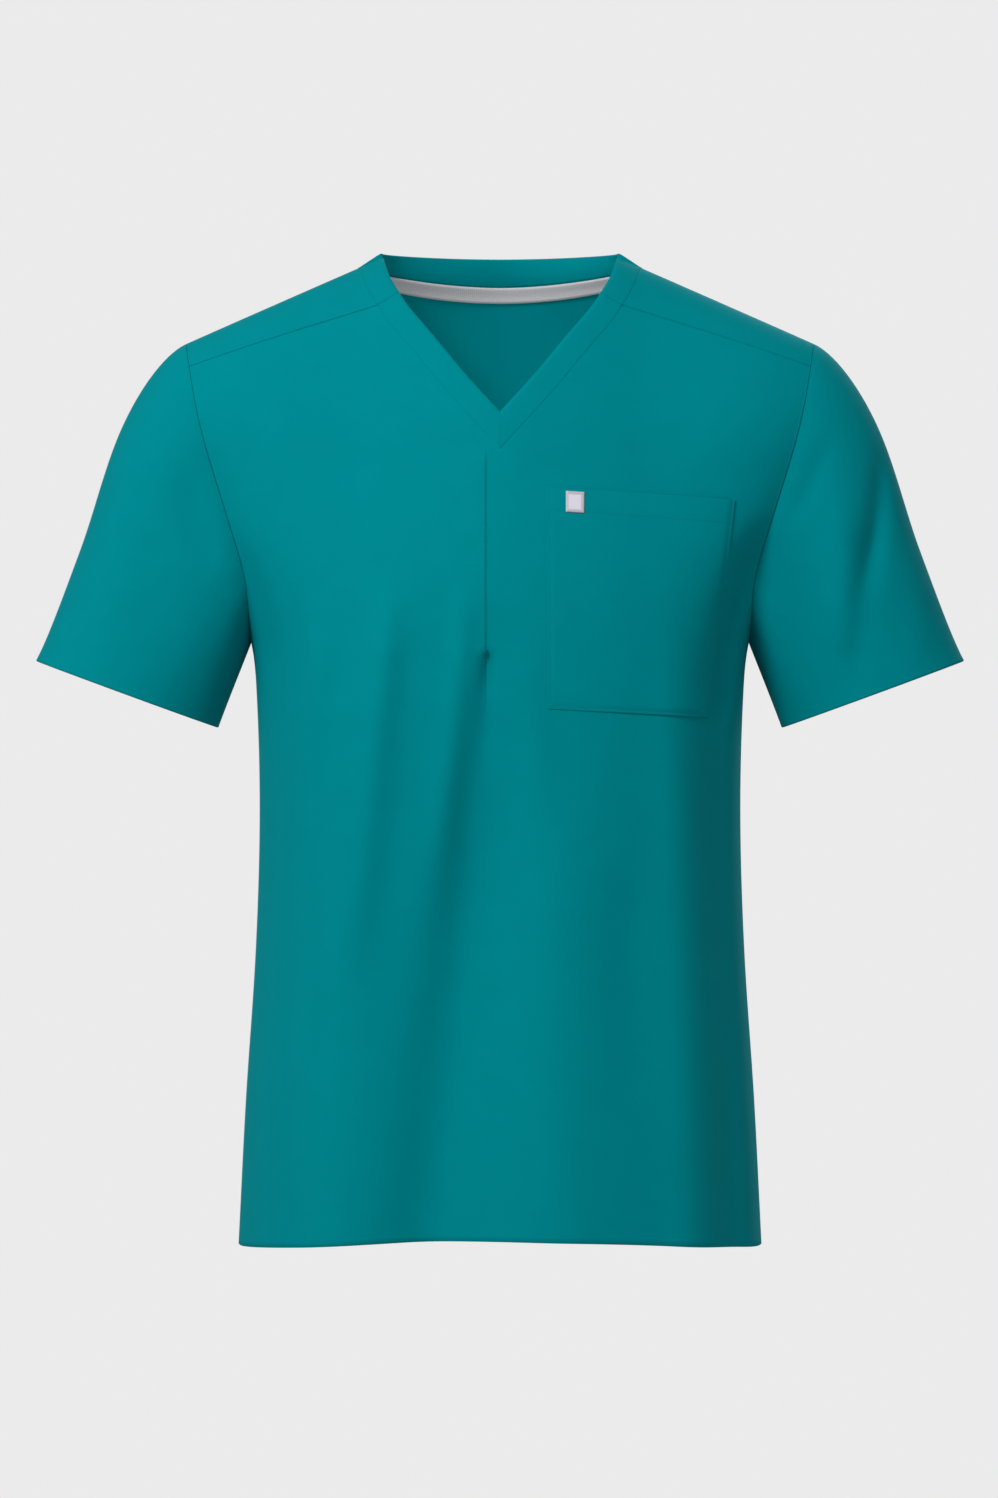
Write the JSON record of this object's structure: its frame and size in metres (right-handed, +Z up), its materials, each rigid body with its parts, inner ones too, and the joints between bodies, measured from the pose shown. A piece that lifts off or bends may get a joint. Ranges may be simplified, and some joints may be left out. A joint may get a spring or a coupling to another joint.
{
  "type": "medical scrub top",
  "caption": "Short-sleeved V-neck scrub top, filled out as worn, with forward shoulder seams, a banded neck, a stitched front pleat and a chest pocket.",
  "frame": {"origin": "midway between the two places where the wearer's shoulders carry the top beside the neck, 12 mm below the top of the neckband", "axes": "+X to the wearer's left, -Y to the front, +Z up"},
  "size_m": [0.7044, 0.2933, 0.7521],
  "materials": {
    "teal_cloth": "matt plain-woven stretch cloth, garment dyed teal",
    "grey_tape": "pale grey herringbone woven tape"
  },
  "bodies": {
    "root": {"front": "teal_cloth", "back": "teal_cloth", "sleeve_left": "teal_cloth", "sleeve_right": "teal_cloth", "neckband_left": "teal_cloth", "neckband_right": "teal_cloth", "neckband_back": "teal_cloth", "neck_tape": "grey_tape", "chest_pocket": "teal_cloth", "pocket_label": "grey_tape"}
  },
  "joints": []
}
